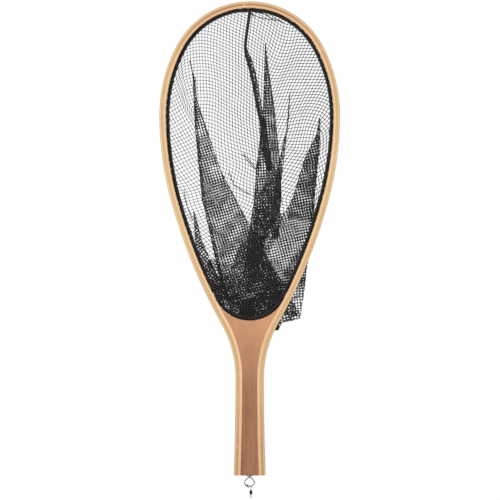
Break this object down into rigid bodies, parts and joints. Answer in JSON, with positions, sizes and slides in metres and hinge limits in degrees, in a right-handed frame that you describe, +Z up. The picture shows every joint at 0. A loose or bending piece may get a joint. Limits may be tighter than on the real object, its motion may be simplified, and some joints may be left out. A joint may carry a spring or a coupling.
{
  "type": "landing net",
  "caption": "Teardrop landing net: bent-laminate wooden hoop and handle, black mesh bag laced round the hoop, and a lanyard ring with a barrel swivel on the butt.",
  "frame": {"origin": "middle of the butt's end face, where the screw eye for the lanyard goes in", "axes": "+Z runs up the handle to the tip of the hoop; the mouth of the bag faces -Y and the bag hangs behind at +Y; +X is to the right seen from the mouth side"},
  "size_m": [0.2286, 0.057, 0.6281],
  "materials": {
    "tan_strip": "satin lacquer over pale tan laminate",
    "brown_strip": "satin lacquer over browner laminate",
    "blonde_strip": "satin lacquer over blonde laminate",
    "core_hardwood": "satin lacquer over reddish hardwood",
    "black_cord": "braided black nylon cord",
    "black_mesh": "knotless black nylon mesh",
    "aged_brass": "dull aged brass",
    "dark_wire": "dark nickel-plated spring wire",
    "bright_wire": "bright nickel-plated wire",
    "black_barrel": "black-nickel barrel"
  },
  "bodies": {
    "frame": {"outer_lamination": "tan_strip", "middle_lamination": "brown_strip", "inner_lamination": "blonde_strip", "handle_core": "core_hardwood", "hem_cord": "black_cord", "lacing_cord": "black_cord", "hem_loops": "black_cord", "net_bag": "black_mesh", "bag_seam": "black_mesh", "screw_eye": "aged_brass", "butt_washer": "aged_brass"},
    "ring": {"lanyard_ring": "dark_wire"},
    "swivel_top": {"swivel_upper_eye": "bright_wire"},
    "swivel_body": {"swivel_barrel": "black_barrel"},
    "swivel_foot": {"swivel_lower_eye": "bright_wire"}
  },
  "joints": [
    {"name": "ring_swing", "type": "hinge", "parent": "frame", "child": "ring", "pos_m": [0, 0, -0.0017], "axis": [1, 0, 0], "range_deg": [-85, 85]},
    {"name": "swivel_swing", "type": "hinge", "parent": "ring", "child": "swivel_top", "pos_m": [0.00161, 0, -0.01423], "axis": [1, 0, 0], "range_deg": [-90, 90]},
    {"name": "barrel_spin", "type": "hinge", "parent": "swivel_top", "child": "swivel_body", "pos_m": [0.00161, 0, -0.01843], "axis": [0, 0, 1], "continuous": true},
    {"name": "lower_eye_spin", "type": "hinge", "parent": "swivel_body", "child": "swivel_foot", "pos_m": [0.00161, 0, -0.02423], "axis": [0, 0, 1], "continuous": true}
  ]
}
